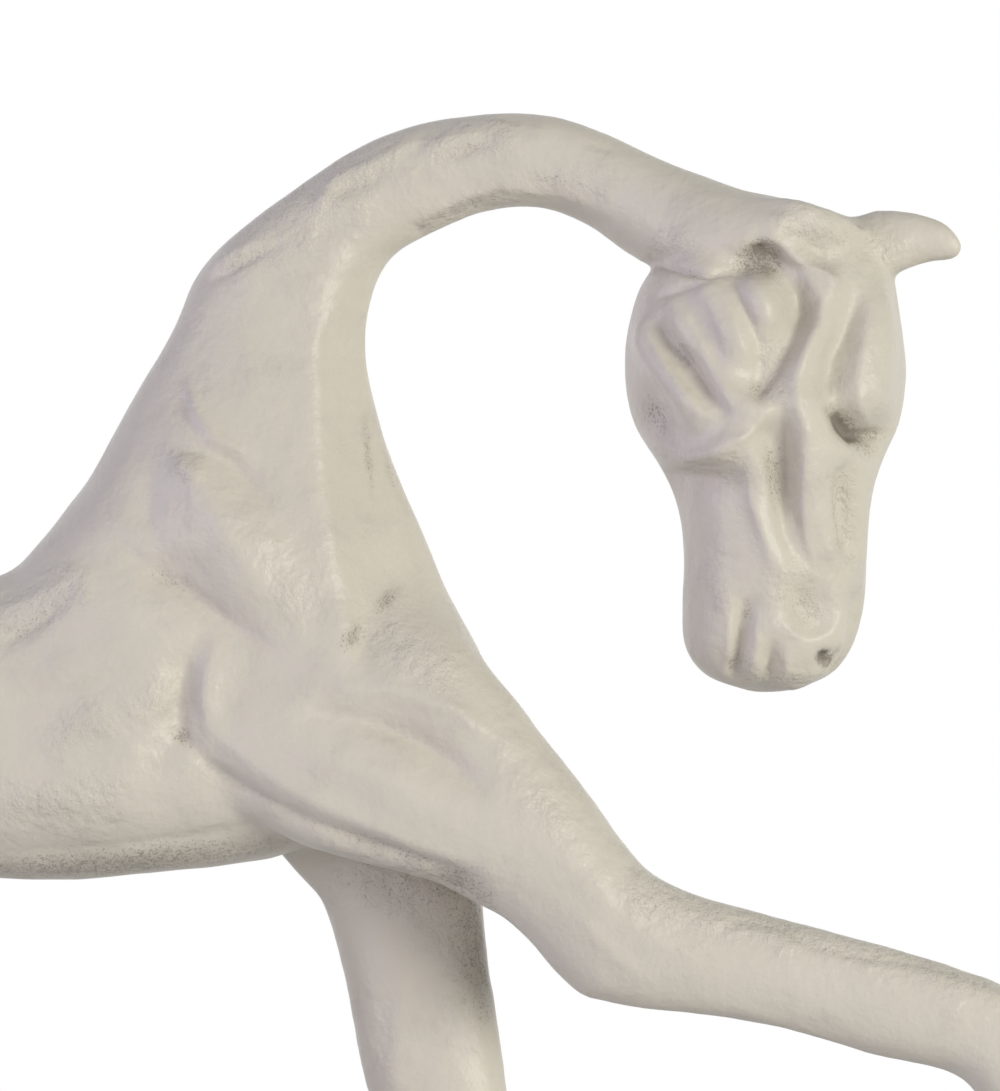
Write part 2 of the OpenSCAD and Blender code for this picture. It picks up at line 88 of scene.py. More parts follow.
class Skin:
    """A fine closed skin over copies of some CAD castings, filled out with balls of wax, before
    it is cut at the joints. Its grain is the size of its faces."""

    def __init__(self, nodes, grain, wax=()):
        bm = bmesh.new()
        for name in nodes:
            bm.from_mesh(frame["nodes"][name].data)
        bmesh.ops.remove_doubles(bm, verts=bm.verts, dist=1e-6)
        bmesh.ops.scale(bm, vec=(MM, MM, MM), verts=bm.verts)
        for place, radius in wax:
            bmesh.ops.create_icosphere(bm, subdivisions=2, radius=radius,
                                       matrix=Matrix.Translation(place))
        pattern = bpy.data.meshes.new("pattern")
        bm.to_mesh(pattern)
        bm.free()
        holder = bpy.data.objects.new("pattern", pattern)
        bpy.context.scene.collection.objects.link(holder)
        remesh = holder.modifiers.new("skin", "REMESH")
        remesh.mode = "VOXEL"
        remesh.voxel_size = grain
        graph = bpy.context.evaluated_depsgraph_get()
        mesh = bpy.data.meshes.new_from_object(holder.evaluated_get(graph))
        bpy.data.objects.remove(holder)
        bpy.data.meshes.remove(pattern)
        self.grain = grain
        self.at = np.empty(len(mesh.vertices) * 3)
        mesh.vertices.foreach_get("co", self.at)
        self.at = self.at.reshape(-1, 3)
        self.edges = np.empty(len(mesh.edges) * 2, dtype=np.int32)
        mesh.edges.foreach_get("vertices", self.edges)
        self.edges = self.edges.reshape(-1, 2)
        self.quads = np.empty(len(mesh.loops), dtype=np.int32)
        mesh.loops.foreach_get("vertex_index", self.quads)
        self.quads = self.quads.reshape(-1, 4)
        bpy.data.meshes.remove(mesh)
        self.patina_and_shade = np.zeros(len(self.at))
        self.rough = np.zeros(len(self.at))

    def passes(self, reach):
        """How many passes of smoothing even the skin out over that reach."""
        return max(1, round(4 * (reach / self.grain) ** 2))

    def around(self, place, radius, core=0.3):
        """1 round a place, within the core's share of a radius, easing to 0 at the radius."""
        return ease(radius, core * radius, np.linalg.norm(self.at - place, axis=1))

    def rub(self, reach, place=None, radius=0):
        """Smooths the skin over that reach, all of it or only round a place."""
        share = 0.5
        if place:
            share = 0.5 * self.around(place, radius)[:, None]
        for i in range(self.passes(reach)):
            self.at += share * pull(self.at, self.edges)

    def spread(self, values, reach):
        """The values, averaged over that reach."""
        values = values.reshape(-1, 1).copy()
        for i in range(self.passes(reach)):
            values += 0.5 * pull(values, self.edges)
        return values[:, 0]

    def knead(self, lumps):
        """Leaves the unevenness of hand modelling, as lumps of these sizes and heights."""
        out = outward(self.at, self.quads)
        lift = np.zeros(len(self.at))
        for size, height in lumps:
            lift += height * np.array([noise.noise(Vector(p)) for p in self.at / size])
        self.at += out * lift[:, None]

    def elevation(self):
        """Where points show in the side elevation, from the photograph's distance."""
        near = DISTANCE / (DISTANCE + self.at[:, 1])
        return EYE + (self.at[:, [0, 2]] - EYE) * near[:, None]

    def profile(self, line, width, spot, allowed):
        """Points near a line of the elevation, with how far each is across it and along it."""
        line = np.array(line, dtype=float)
        low, high = line.min(axis=0) - 4 * width, line.max(axis=0) + 4 * width
        near = np.flatnonzero(((spot > low) & (spot < high)).all(axis=1) & allowed)
        p = spot[near]
        best = np.full(len(near), 1e9)
        along = np.zeros(len(near))
        steps = np.linalg.norm(np.diff(line, axis=0), axis=1)
        start = 0.0
        for a, b, step in zip(line[:-1], line[1:], steps):
            t = np.clip((p - a) @ (b - a) / max(step * step, 1e-9), 0, 1)
            d = np.linalg.norm(p - a - t[:, None] * (b - a), axis=1)
            closer = d < best
            best[closer] = d[closer]
            along[closer] = (start + t * step)[closer]
            start += step
        return near, best / width, along / max(start, 1e-9)

    def model(self, strokes, side=-1):
        """Works strokes into one flank of the figure. Each is a half width, a height, a share
        of brown for patina and painted shade, and a line of the side elevation."""
        spot = self.elevation()
        out = outward(self.at, self.quads)
        facing = ease(0.02, 0.4, side * out[:, 1])
        lift = np.zeros(len(spot))
        for width, height, patina_and_shade, line in strokes:
            near, across, along = self.profile(line, width, spot, facing > 0)
            length = np.linalg.norm(np.diff(line, axis=0), axis=1).sum()
            # a long stroke thins out towards its ends, and its brown of patina and painted shade
            # lies a little wider than it
            taper = 0.6 * min(1, length / (4 * width))
            fade = (1 - taper + taper * np.sin(math.pi * along)) * facing[near]
            lift[near] += height * fade * ridge(across)
            mark = patina_and_shade * fade * np.exp(-(across / 1.3) ** 2)
            self.patina_and_shade[near] = np.maximum(self.patina_and_shade[near], mark)
        self.at += out * lift[:, None]

    def grind(self, point, normal, reach, soft=0.4):
        """Takes the skin down to a plane through a point, near that point, with a soft edge."""
        normal = np.array(normal, dtype=float)
        normal /= np.linalg.norm(normal)
        over = soft * np.logaddexp(0, (self.at - point) @ normal / soft)
        self.at -= (over * self.around(point, reach))[:, None] * normal

    def roughen(self, patches, side=-1):
        """Marks patches of one flank that keep the rough skin of the sand mould. Each is a
        half width, a share and a line of the side elevation."""
        spot = self.elevation()
        facing = ease(-0.1, 0.3, side * outward(self.at, self.quads)[:, 1])
        for width, share, line in patches:
            near, across, along = self.profile(line, width, spot, facing > 0)
            mark = share * facing[near] * np.exp(-across ** 2)
            self.rough[near] = np.maximum(self.rough[near], mark)


class Wire:
    """One socket of a shader's node tree, so that its maths reads as plain expressions."""

    def __init__(self, tree, socket=None):
        self.tree, self.socket = tree, socket

    def feed(self, socket, value):
        if isinstance(value, Wire):
            self.tree.links.new(value.socket, socket)
        else:
            socket.default_value = value

    def node(self, kind, settings, values, output=0):
        made = self.tree.nodes.new(kind)
        for key, value in settings.items():
            setattr(made, key, value)
        for key, value in values.items():
            self.feed(made.inputs[key], value)
        return Wire(self.tree, made.outputs[output])

    def maths(self, operation, *values):
        return self.node("ShaderNodeMath", {"operation": operation}, dict(enumerate(values)))

    def __add__(self, other):
        return self.maths("ADD", self, other)

    def __radd__(self, other):
        return self.maths("ADD", other, self)

    def __sub__(self, other):
        return self.maths("SUBTRACT", self, other)

    def __rsub__(self, other):
        return self.maths("SUBTRACT", other, self)

    def __mul__(self, other):
        return self.maths("MULTIPLY", self, other)

    def __rmul__(self, other):
        return self.maths("MULTIPLY", other, self)

    def noise(self, place, size, detail=3.0, roughness=0.55):
        """Soft random mottling, with features of that size in metres."""
        return self.node("ShaderNodeTexNoise", {}, {
            "Vector": place, "Scale": 1 / size, "Detail": detail, "Roughness": roughness})

    def rise(self, value, low, high):
        """0 below low, 1 above high and smooth between."""
        return self.node("ShaderNodeMapRange", {"interpolation_type": "SMOOTHSTEP"}, {
            "Value": value, "From Min": low, "From Max": high})

    def mix(self, share, first, second):
        """A mix of two colours."""
        return self.node("ShaderNodeMix", {"data_type": "RGBA"}, {
            "Factor": share, 6: first, 7: second}, output=2)

    def measured(self, name):
        """A value that the modelling left on the mesh."""
        return self.node("ShaderNodeAttribute", {"attribute_name": name}, {}, output=2)


def paint_over_sand_casting():
    """Satin off-white paint, thin enough that the grain of the sand mould shows through, with
    brown-grey patina rubbed into the grooves, and painted shade: the hollows a little darker, and
    bands of the patina's brown along the belly, on the forearms and on the leg behind the raised
    one."""
    thin_cream = (0.585, 0.545, 0.475, 1)
    full_cream = (0.65, 0.607, 0.53, 1)
    dulled_cream = (0.55, 0.51, 0.455, 1)
    hollow_shade = (0.42, 0.385, 0.33, 1)
    patina_and_shade_brown = (0.235, 0.205, 0.165, 1)
    dark_patina_and_shade = (0.15, 0.133, 0.11, 1)
    material = bpy.data.materials.new("paint_over_sand_casting")
    material.use_nodes = True
    tree = material.node_tree
    shader = tree.nodes["Principled BSDF"]
    w = Wire(tree)
    place = w.node("ShaderNodeTexCoord", {}, {}, output=3)
    rough = w.measured("rough")
    patina_and_shade = w.measured("patina_and_shade")
    hollow = w.measured("hollow")

    cloud = w.noise(place, 0.025, 2)
    patch = w.noise(place, 0.008, 3)
    lump = w.noise(place, 0.0022, 3, 0.6)
    grain = w.noise(place, 0.0009, 3, 0.6)
    fine = w.noise(place, 0.00035, 2, 0.5)
    sand = w.rise(rough + patch * 0.8, 0.42, 1.0)

    cream = w.mix(cloud, thin_cream, full_cream)
    cream = w.mix(w.rise(patch, 0.45, 0.75) * 0.4, cream, dulled_cream)
    # painted shade: the hollows of the skin, found from its bend, are darkened a little towards
    # grey-brown
    sunk = w.rise(hollow + patch * 0.5, 0.4, 1.1)
    shaded_and_patinated = w.mix(sunk * 0.1, cream, hollow_shade)
    # the brown film and its dark specks are patina in the grooves and painted shade in the bands
    # that strokes lay along the belly, the forearms and the leg behind the raised one
    patina_and_shade_share = w.rise(patina_and_shade + (patch + lump - 1) * 0.35, 0.02, 0.95)
    shaded_and_patinated = w.mix(patina_and_shade_share * 0.8, shaded_and_patinated, patina_and_shade_brown)
    field = fine * 0.6 + grain * 0.4 - 0.5
    speck = w.rise(field + patina_and_shade * 0.25, 0.06, 0.2) * w.rise(patina_and_shade + sand * 0.1, 0.03, 0.3)
    w.feed(shader.inputs["Base Color"], w.mix(speck * 0.55, shaded_and_patinated, dark_patina_and_shade))
    w.feed(shader.inputs["Roughness"], 0.32 + cloud * 0.1 - sand * 0.05)
    shader.inputs["IOR"].default_value = 1.46
    shader.inputs["Specular IOR Level"].default_value = 0.3

    relief = (grain * (0.00007 + sand * 0.0002) + fine * (0.00003 + sand * 0.0001)
              + lump * (0.00015 + sand * 0.0004) + patch * 0.0007)
    bump = w.node("ShaderNodeBump", {}, {"Strength": 1.0, "Distance": 1.0, "Height": relief})
    w.feed(shader.inputs["Normal"], bump)
    return material


paint = paint_over_sand_casting()
# how far the lens is from the figure's middle plane, and the point there that it looks at
DISTANCE = 1434
EYE = np.array([59.76, 170.14])
body = Skin(["torso", "neck", "head", "left_ear", "right_ear", "right_foreleg", "left_foreleg",
             "right_hind_leg", "left_hind_leg", "tail"], grain=0.85,
            wax=[((47.5, -4.5, 157), 7), ((49, -5.2, 154.2), 7.2), ((50.8, -6, 151.2), 7.6)])
LUMPS = [(14, 0.35), (6, 0.14)]
body.rub(1.5)
body.knead(LUMPS)
shoulder = [
    # blade of the shoulder, with the grooves over, behind and under it
    (3.9, 1.5, 0, [(10.6, 182), (14.8, 172.6), (23.4, 160.6)]),
    (1.6, -1.3, 0.02, [(8.2, 185.2), (12.2, 185.8), (17.2, 183.2), (22.4, 177.4)]),
    (1.5, 1, 0, [(7.8, 183.6), (10, 181.4)]),
    (2.4, -1, 0.02, [(3.2, 182.4), (2.6, 175), (5.2, 168.4)]),
    (1.6, -1.5, 0.08, [(-1.6, 170.2), (3.2, 166.8), (9.8, 162.4), (17, 156.8), (23.4, 153)]),
    (1.3, 0, 0.25, [(2.4, 166.2), (6.8, 164.6), (10.6, 163.2)]),
    (1.1, 1, 0, [(9.8, 196.2), (10.8, 191.6), (13.6, 187.4), (19.4, 184.8)]),
    (1.3, -0.6, 0.02, [(8.2, 195), (9, 190.8), (11.4, 187.2)])]
flank = [
    # crease behind the shoulder and under the forearm, and the edge of the forearm along it
    (1.5, -1, 0.03, [(10.8, 154.8), (9.2, 150.4), (8.2, 145.2), (8.2, 139)]),
    (1.1, 1.1, 0, [(13.6, 154), (12.6, 150.4), (12.2, 145.2), (13, 139.6)]),
    (1.1, -0.3, 0.45, [(7.2, 140.4), (9.4, 138.2)]),
    (1.6, -1.5, 0.15, [(8.4, 139.6), (12.2, 135.2), (18.6, 130.6), (27.4, 126.2)]),
    (1.5, -1.5, 0.25, [(25.8, 126.6), (34.8, 123.4), (43.6, 120.2), (55, 116.4)]),
    (1.9, 0.8, 0, [(14.8, 152.4), (13.2, 145.2), (15.4, 138.8), (21.8, 133.2), (30.8, 128.2),
                   (43.6, 123), (56.6, 118.2)]),
    # breast muscle over the forearm
    # painted shade in the groove under the breast muscle, for the shade that falls into it from
    # above
    (2.4, -2.6, 0.13, [(30.4, 143.2), (40.2, 141.4), (47, 138.4), (52.2, 134.8), (56.2, 131)]),
    (2.1, 1.3, 0, [(34, 147.2), (43.6, 146.6), (52.2, 143.6), (59.8, 138.2)]),
    (4.2, 1.3, 0, [(25.8, 138), (38.4, 133.6), (51.2, 128.2)]),
    # speckled patina on the front of the chest
    (1.1, 0, 0.5, [(34.8, 154), (36.8, 156.6)]),
    (1.1, 0, 0.45, [(39.8, 159.4), (43, 163)]),
    (0.6, 0, 0.3, [(37.8, 191.6), (38.4, 185.6), (39.4, 176.6)]),
    (0.6, 0, 0.25, [(41, 187.2), (42, 180.8), (43.6, 177.4)])]
barrel = [
    # back, ribs and belly
    (1.5, -1, 0.15, [(-22.6, 153.6), (-15.2, 157.4), (-10, 161.6)]),
    (1.9, 0.8, 0, [(-22.6, 158.4), (-14.4, 161.6), (-8.8, 165.4)]),
    (2.3, -0.6, 0.05, [(-21, 144.4), (-8, 146.8), (3.2, 151.4)]),
    (6.5, 1, 0, [(-19.4, 130.6), (-6.4, 129), (4.8, 129)]),
    (1.6, -0.6, 0.15, [(-21, 120.6), (-3.2, 121.4), (11.4, 123.2), (22.6, 125.6)]),
    # painted shade along the lower edge of the belly: a band of brown with no relief
    (2.3, 0, 0.46, [(-30.6, 117.2), (-21, 117.4), (-3.2, 118.2), (11.4, 120), (25.8, 121.6)]),
    (1.3, -0.5, 0.05, [(-11.2, 138.4), (-1.6, 139), (6.8, 142.6)])]
haunch = [
    # thigh, with the hollow of the flank before it and the cleft of the ham behind it
    (6.5, 1.3, 0, [(-98.4, 161.4), (-96.8, 151.6), (-93.6, 140.4), (-88.6, 129)]),
    (3.9, -1.3, 0.06, [(-74.2, 163), (-71, 154), (-69.6, 145.2), (-71, 137.2), (-75, 129)]),
    (3.2, -1, 0.06, [(-111.2, 154.8), (-110.4, 145.2), (-107.2, 134), (-101.6, 124.2)])]
# the flat front of the chest, with an edge to the side of the neck, runs down into the breast
body.model([(4.5, 1.3, 0, [(34.4, 213.4), (32.2, 206.8), (30, 197.4), (30.6, 188.6), (31.4, 179.8),
                           (32.4, 171), (33.2, 162.4), (34, 153.4)])])
CHEST_SLOPE = (0.715, -0.654, 0.247)
for place, reach in (((36, -5.4, 198), 11), ((36.4, -8.6, 186.4), 12), ((36.7, -12, 176), 12),
                     ((37.4, -15.4, 165.5), 14), ((36.1, -19.6, 157.5), 10)):
    body.grind(place, CHEST_SLOPE, reach, soft=0.2)
# chest, breast and hindquarters, rubbed smooth
body.rub(1.3, (32.5, -12, 172), 26)
body.rub(5, (53, -8, 155.5), 20)
body.rub(5, (-75, 0, 148), 62)
body.model(shoulder + flank + barrel + haunch)
body.model(shoulder + barrel + haunch, side=1)
body.roughen([
    (3.9, 0.8, [(-22.6, 156.6), (-16, 159.4), (-10.2, 163.2)]),
    (4.2, 0.5, [(-17.6, 129), (-3.2, 130.6)]),
    (4.2, 0.25, [(15.4, 177.4), (21.4, 171), (27.4, 161.4)]),
    (4.2, 0.6, [(41.2, 154.8), (50, 150)]),
    (4.2, 0.4, [(-11.2, 138.8), (4.8, 146.8)]),
    (2.3, 0.4, [(5.8, 185.2), (9.8, 182.6)])])

# Arched neck, from the withers to the nape. Cast and painted as the body is. Its inner side is
# planed flat with a file, which has left notches along the edge.
arch = [
    # laps and ridges of the modelling along the crest
    (0.8, -1, 0.15, [(12.6, 212.2), (16.8, 215), (19.6, 216.6), (24.2, 218.6)]),
    (1, 0.8, 0, [(12.6, 214.6), (16.8, 217.2), (21.6, 219.8)]),
    (0.8, 0.8, 0, [(29.6, 225.2), (32.4, 226), (35, 225.4), (38.4, 225)]),
    (0.8, 1, 0, [(30.4, 224), (31.6, 227.2), (34, 229.6), (37.4, 230.8), (41.2, 232.8),
                 (46.2, 235.4)]),
    (0.8, -0.6, 0.08, [(32.4, 225), (34.8, 227.6), (38.2, 228.8), (42, 230.8)]),
    (1.1, 0.8, 0, [(48.2, 234), (51.6, 235.8), (57.4, 237)]),
    (0.8, -1, 0.12, [(50.4, 232.2), (53.6, 233.4), (57.8, 235)]),
    (1.6, -0.6, 0, [(27.4, 219.4), (32.4, 220.8), (35.8, 221.4)]),
    (1.3, -0.5, 0, [(73.6, 235.2), (78.4, 234)]),
    # edge of the flat along the inner side
    (1.3, 0.5, 0, [(42.8, 218.8), (48.4, 223.6), (54.2, 226.6), (61.4, 227.8), (69.4, 226.8),
                   (76.6, 224.2)]),
    # speckled patina near the nape
    (1.5, 0, 0.2, [(67, 229.4), (69.4, 229.4)])]
notches = [(0.7, -0.5, 0.2, [(46.5 + 1.4 * i, 221.5 + 0.7 * i), (47.5 + 1.4 * i, 220.5 + 0.7 * i)])
           for i in range(10)]
# fold where the neck lies over the cheek
throat = [
    (0.8, -1.3, 0.25, [(84.2, 215.8), (86.8, 215), (90.4, 214.2), (94.2, 214), (97.6, 214.6)]),
    (0.8, -0.8, 0.1, [(85.2, 210.2), (88.8, 211.4), (94, 213.4)])]
body.model(arch + notches + throat)
body.model(arch, side=1)
sanded = [
    (6.1, 0.85, [(19.4, 219.4), (27.4, 226.6), (38.8, 234)]),
    (3.2, 0.6, [(50, 234), (59.8, 236.4)]),
    (2.3, 0.6, [(48.4, 222.4), (56.6, 226.2), (66.2, 227.2)]),
    (2.6, 0.5, [(66.2, 229.8), (75.8, 228.4)]),
    (4.8, 0.2, [(13.8, 211.4), (9.8, 196.8)])]
body.roughen(sanded)
body.roughen(sanded, side=1)

# Legs, the right foreleg raised and the other three standing. Each is cast from the forearm
# or thigh down to the hoof.
right_foreleg = [
    # edge of the cast skin along the top of the forearm
    (0.8, -0.5, 0.15, [(83.2, 111.6), (89.8, 109.6), (94.2, 107.2), (98.6, 109.6), (105.4, 108.4),
                       (109.8, 105.6), (116.6, 104), (127.6, 102.8), (140, 99)]),
    (1.3, 0.5, 0, [(72, 111.2), (76.4, 105.6), (83.2, 100)]),
    (1.3, 0.3, 0, [(94.2, 96.8), (105.4, 93.4), (116.6, 89)]),
    (4.8, 0.8, 0, [(69.4, 121), (79.2, 109.8), (92, 102.4)]),
    # painted shade over the forearm of the raised leg: a patch of brown with no relief
    (5.5, 0, 0.12, [(71, 112.2), (84, 106.4), (101.8, 101.4)])]
left_foreleg = [
    # painted shade where the leg stands behind the raised one, laid with the patina's brown
    (5.5, 0, 0.16, [(32.4, 117.8), (43.6, 115.4), (53.4, 113.8)]),
    (3.2, 0, 0.45, [(55.2, 116.2), (57.6, 104.8), (58.4, 95.2)]),
    (2.6, -0.5, 0.4, [(50, 117), (55, 114.6)]),
    (1.9, 0.5, 0, [(44.4, 106.4), (43.6, 95.2), (42.8, 84)])]
hind_leg = [
    # gaskin, tendon behind it and cannon
    (3.5, 0.8, 0, [(-89.6, 113.6), (-93.6, 100), (-96.8, 87.2)]),
    (1.3, -0.6, 0.08, [(-105.6, 93.6), (-112, 79), (-114.6, 72.6)]),
    (1.1, -0.5, 0.05, [(-106.4, 55), (-105.2, 42), (-104, 29.8)])]
body.model(right_foreleg + left_foreleg + hind_leg)
body.roughen([
    (3.5, 0.9, [(84, 113.8), (95.2, 110.6), (108.2, 108.2), (140.4, 100)]),
    (5.8, 0.6, [(35.6, 116.2), (51.6, 113), (56.6, 96.8)]),
    (3.2, 0.4, [(66.2, 129), (69.4, 124.2)])])
# armpit of the raised leg, soles filed flat to stand on, and the ring above the hooves
body.grind((63.6, -13, 107.3), (-0.756, 0, -0.654), 9)
body.at[:, 2] = np.maximum(body.at[:, 2], 0)
HOOF_HEIGHT, RING_WIDTH, RING_DEPTH, RING_GRIME = 11.3, 0.9, 0.35, 0.15
ring = np.exp(-((body.at[:, 2] - HOOF_HEIGHT) / RING_WIDTH) ** 2)
body.at -= outward(body.at, body.quads) * (RING_DEPTH * ring)[:, None]
body.patina_and_shade = np.maximum(body.patina_and_shade, RING_GRIME * ring)

# Tail, hanging clear of the legs, cast on its own with a few long grooves for the hair.
# It is pinned to the buttock.
hair = [(0.9, -0.6, 0.1, [(-138 + d, 157), (-142.5 + d, 148), (-144 + d, 136), (-144 + d, 120),
                          (-142.8 + 0.6 * d, 105)]) for d in (-2.5, 0.5, 3.2)]
body.model(hair)
body.model(hair, side=1)

# Dowels and pins, cut from drawn aluminium rod. They sit in drilled holes across the joints,
# where the castings butt on flat faces. The joints are welded and dressed until they don't show.
HOLE_CLEARANCE = 0.05
HOLE_SIDES = 24
CUT_REACH = 4  # how far from a joint's plane the skin's faces are looked for
SMALL_PATCH = 500  # a loose patch of fewer faces belongs to the casting round it


def rod_of(name):
    """Middle, axis, length and radius of a CAD dowel or pin."""
    at = np.array([v.co for v in frame["nodes"][name].data.vertices]) * MM
    middle = (at.max(axis=0) + at.min(axis=0)) / 2
    axis = np.linalg.svd(at - middle, full_matrices=False)[2][0]
    along = (at - middle) @ axis
    radius = np.linalg.norm((at - middle) - along[:, None] * axis, axis=1).max()
    return Vector(middle), Vector(axis), float(along.max() - along.min()), float(radius)


def near_surface(name):
    """A finder of the nearest point on a CAD casting, in millimetres."""
    mesh = frame["nodes"][name].data
    return BVHTree.FromPolygons([v.co * MM for v in mesh.vertices],
                                [tuple(f.vertices) for f in mesh.polygons])


def groups(faces):
    """Sets of connected faces."""
    found = []
    todo = set(faces)
    while todo:
        group, fringe = set(), [todo.pop()]
        while fringe:
            f = fringe.pop()
            group.add(f)
            for e in f.edges:
                for g in e.link_faces:
                    if g in todo:
                        todo.discard(g)
                        fringe.append(g)
        found.append(group)
    return found


def closed_piece(bm, faces, rods, root):
    """A copy of those faces, closed on each joint face with a hole drilled for its dowel, and on
    each seat with a cone down to the root that the seats share."""
    piece = bmesh.new()
    values = [(layer, piece.verts.layers.float.new(layer.name))
              for layer in bm.verts.layers.float.values()]
    copies = {}
    for f in faces:
        for v in f.verts:
            if v not in copies:
                copies[v] = piece.verts.new(v.co)
                for old, new in values:
                    copies[v][new] = v[old]
        piece.faces.new([copies[v] for v in f.verts]).smooth = True
    rim = {e for e in piece.edges if e.is_boundary}
    for middle, axis, length, radius, places in rods:
        loop = [e for e in rim if all(tuple(v.co) in places for v in e.verts)]
        if not loop:
            continue
        inside = sum((f.calc_center_median() - middle).dot(axis) for e in loop for f in e.link_faces)
        inward = axis if inside > 0 else -axis
        over = axis.orthogonal().normalized()
        side = axis.cross(over)
        turn = [2 * math.pi * i / HOLE_SIDES for i in range(HOLE_SIDES)]
        bore = radius + HOLE_CLEARANCE
        mouth = [piece.verts.new(middle + bore * (over * math.cos(a) + side * math.sin(a)))
                 for a in turn]
        depth = inward * (length / 2 + HOLE_CLEARANCE)
        floor = [piece.verts.new(v.co + depth) for v in mouth]
        mouth_edges = [piece.edges.new((mouth[i - 1], mouth[i])) for i in range(HOLE_SIDES)]
        bmesh.ops.triangle_fill(piece, use_beauty=True, edges=loop + mouth_edges, normal=axis)
        for i in range(HOLE_SIDES):
            piece.faces.new([mouth[i - 1], mouth[i], floor[i], floor[i - 1]])
        piece.faces.new(floor)
        for e in loop + mouth_edges:
            e.smooth = False
    seat = [e for e in piece.edges if e.is_boundary]
    if seat:
        tip = piece.verts.new(root)
    for e in seat:
        piece.faces.new([*e.verts, tip])
        e.smooth = False
    bmesh.ops.recalc_face_normals(piece, faces=piece.faces)
    return piece


def castings(skin, joints, seats=(), root_depth=0):
    """Cuts a skin across the middles of these dowels, drills it for them and returns the closed
    pieces, each under the name of the CAD casting that it lies over. A joint has the half
    depth and half width of its face. A seated casting is cut along its own seat, where the
    skin is nearer to it than to its base, and the seats' root lies that deep under them."""
    bend = np.einsum("ij,ij->i", pull(skin.at, skin.edges), outward(skin.at, skin.quads))
    hollow = (skin.spread(bend, 0.5) + 2 * skin.spread(bend, 1.5)) / skin.grain ** 2
    bm = bmesh.new()
    layers = [(bm.verts.layers.float.new(name), values) for name, values in (
        ("patina_and_shade", skin.patina_and_shade), ("rough", skin.rough), ("hollow", hollow))]
    points = [bm.verts.new(p) for p in skin.at]
    for layer, values in layers:
        for v, value in zip(points, values):
            v[layer] = value
    for quad in skin.quads:
        bm.faces.new([points[i] for i in quad]).smooth = True
    rods = []
    for dowel, deep, wide in joints:
        middle, axis, length, radius = rod_of(dowel)
        over = axis.cross((0, 1, 0) if abs(axis.y) < 0.9 else (0, 0, 1)).normalized()
        side = axis.cross(over)
        near = []
        for f in bm.faces:
            off = f.calc_center_median() - middle
            if (abs(off.dot(axis)) < CUT_REACH and abs(off.dot(over)) < deep
                    and abs(off.dot(side)) < wide):
                near.append(f)
        near += list({e for f in near for e in f.edges}) + list({v for f in near for v in f.verts})
        cut = bmesh.ops.bisect_plane(bm, geom=near, plane_co=middle, plane_no=axis, dist=0.01)
        rim = [e for e in cut["geom_cut"] if isinstance(e, bmesh.types.BMEdge)]
        rods.append((middle, axis, length, radius, {tuple(v.co) for e in rim for v in e.verts}))
        bmesh.ops.split_edges(bm, edges=rim)
    foot = []
    for seated, base in seats:
        seated_surface, base_surface = near_surface(seated), near_surface(base)
        mine = set()
        for f in bm.faces:
            spot = f.calc_center_median()
            if seated_surface.find_nearest(spot)[3] + 0.1 < base_surface.find_nearest(spot)[3]:
                mine.add(f)
        mine = max(groups(mine), key=len)
        others = groups(set(bm.faces) - mine)
        mine = mine.union(*[g for g in others if len(g) < SMALL_PATCH])
        rim = {e for f in mine for e in f.edges if any(g not in mine for g in e.link_faces)}
        foot += [tuple(v.co) for e in rim for v in e.verts]
        bmesh.ops.split_edges(bm, edges=list(rim))
    root = Vector(np.mean(sorted(foot), axis=0)) - Vector((0, 0, root_depth)) if foot else None
    bmesh.ops.triangulate(bm, faces=[f for f in bm.faces if len(f.verts) > 4])
    pieces = {}
    for group in groups(set(bm.faces)):
        piece = closed_piece(bm, group, rods, root)
        at = np.array([v.co for v in piece.verts])
        corners = np.concatenate([at.min(axis=0), at.max(axis=0)])
        name = min(frame["nodes"], key=lambda n: np.abs(
            corners - MM * np.concatenate([np.array(c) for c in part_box(n)])).max())
        pieces[name] = piece
    bm.free()
    return pieces


def finished(name, piece):
    """Sets one painted casting in the scene, in metres, in place of its CAD solid."""
    bmesh.ops.scale(piece, vec=(1 / MM, 1 / MM, 1 / MM), verts=piece.verts)
    mesh = bpy.data.meshes.new(name + "_casting")
    piece.to_mesh(mesh)
    piece.free()
    mesh.materials.append(paint)
    casting = bpy.data.objects.new(name + "_casting", mesh)
    bpy.context.scene.collection.objects.link(casting)
    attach(casting, "root")
    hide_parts(name)


cast = castings(body, [
    ("neck_dowel", 27, 17), ("head_dowel", 12, 12), ("right_foreleg_dowel", 14, 12.5),
    ("left_foreleg_dowel", 17, 12.5), ("right_hind_dowel", 24, 13.5),
    ("left_hind_dowel", 24, 13.5), ("tail_pin", 10, 10)])
for name in ("torso", "neck", "right_foreleg", "left_foreleg", "right_hind_leg", "left_hind_leg",
             "tail"):
    finished(name, cast[name])

rod_metal = bpy.data.materials.new("drawn_aluminium_rod")
rod_metal.use_nodes = True
tree = rod_metal.node_tree
shader = tree.nodes["Principled BSDF"]
w = Wire(tree)
place = w.node("ShaderNodeTexCoord", {}, {}, output=3)
streak = w.noise(place, 0.0006, 3)
dull_metal = (0.62, 0.63, 0.65, 1)
bright_metal = (0.74, 0.75, 0.77, 1)
w.feed(shader.inputs["Base Color"], w.mix(streak, dull_metal, bright_metal))
w.feed(shader.inputs["Roughness"], 0.3 + streak * 0.15)
shader.inputs["Metallic"].default_value = 1.0
for name, node in frame["nodes"].items():
    if name.endswith(("_dowel", "_pin")):
        node.data.materials.clear()
        node.data.materials.append(rod_metal)

